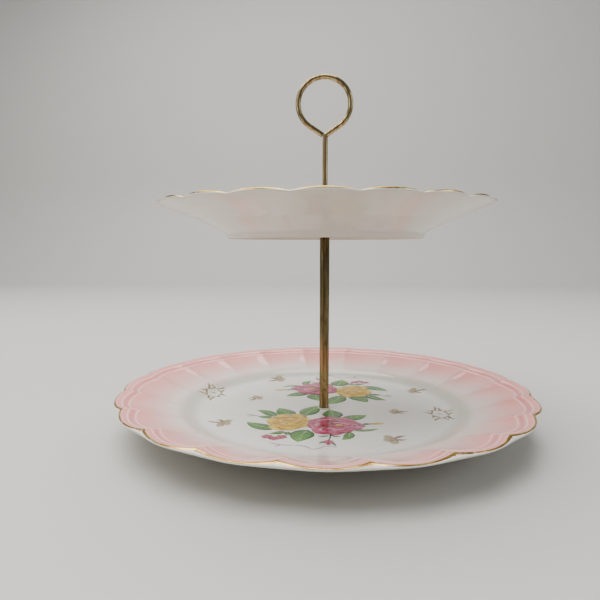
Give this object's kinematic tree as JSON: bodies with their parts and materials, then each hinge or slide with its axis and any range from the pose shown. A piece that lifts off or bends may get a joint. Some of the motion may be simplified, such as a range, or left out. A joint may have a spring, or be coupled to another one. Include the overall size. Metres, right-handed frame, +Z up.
{
  "type": "tiered cake stand",
  "caption": "Tiered cake stand: scalloped china plates with gilt edges and rose sprays on a slim brass tube, with a bent-wire ring handle.",
  "frame": {"origin": "on the table at the centre of the lower plate's foot ring", "axes": "+Z up the column; the ring handle lies in the XZ plane and the front of the stand faces -Y"},
  "size_m": [0.254, 0.254, 0.2146],
  "materials": {
    "glazed_china": "high-gloss white glaze, pink shaded rim, gilt edge, printed rose sprays",
    "brass_tube": "lacquered drawn brass, lightly tarnished",
    "brass_wire": "bright drawn wire",
    "turned_brass": "turned",
    "plated_washer": "dulled plating",
    "steel_screw": "plated",
    "clear_nylon": "translucent",
    "white_pad": "soft, satin"
  },
  "bodies": {
    "lower_tier": {"lower_plate": "glazed_china", "base_pad": "white_pad"},
    "column": {"centre_tube": "brass_tube", "tube_top_insert": "turned_brass", "tube_bottom_insert": "turned_brass", "tube_foot_washer": "clear_nylon", "tube_top_washer": "plated_washer", "under_pad": "clear_nylon", "base_washer": "plated_washer", "base_screw": "steel_screw"},
    "upper_tier": {"upper_plate": "glazed_china"},
    "handle_washers": {"handle_washer": "turned_brass", "handle_pad": "white_pad"},
    "handle": {"ring_handle": "brass_wire", "handle_collar": "turned_brass"}
  },
  "joints": [
    {"name": "column_turn", "type": "hinge", "parent": "lower_tier", "child": "column", "pos_m": [0, 0, 0.0082], "axis": [0, 0, 1], "continuous": true},
    {"name": "upper_plate_turn", "type": "hinge", "parent": "column", "child": "upper_tier", "pos_m": [0, 0, 0.1184], "axis": [0, 0, 1], "continuous": true},
    {"name": "handle_rise", "type": "slide", "parent": "column", "child": "handle_washers", "axis": [0, 0, 1], "range_m": [0, 0.00649]},
    {"name": "handle_turn", "type": "hinge", "parent": "handle_washers", "child": "handle", "pos_m": [0, 0, 0.124], "axis": [0, 0, 1], "range_deg": [0, 3960]}
  ],
  "couplings": [
    {"joint": "handle_rise", "follows": "handle_turn", "m_per_rad": 0.000093901}
  ]
}
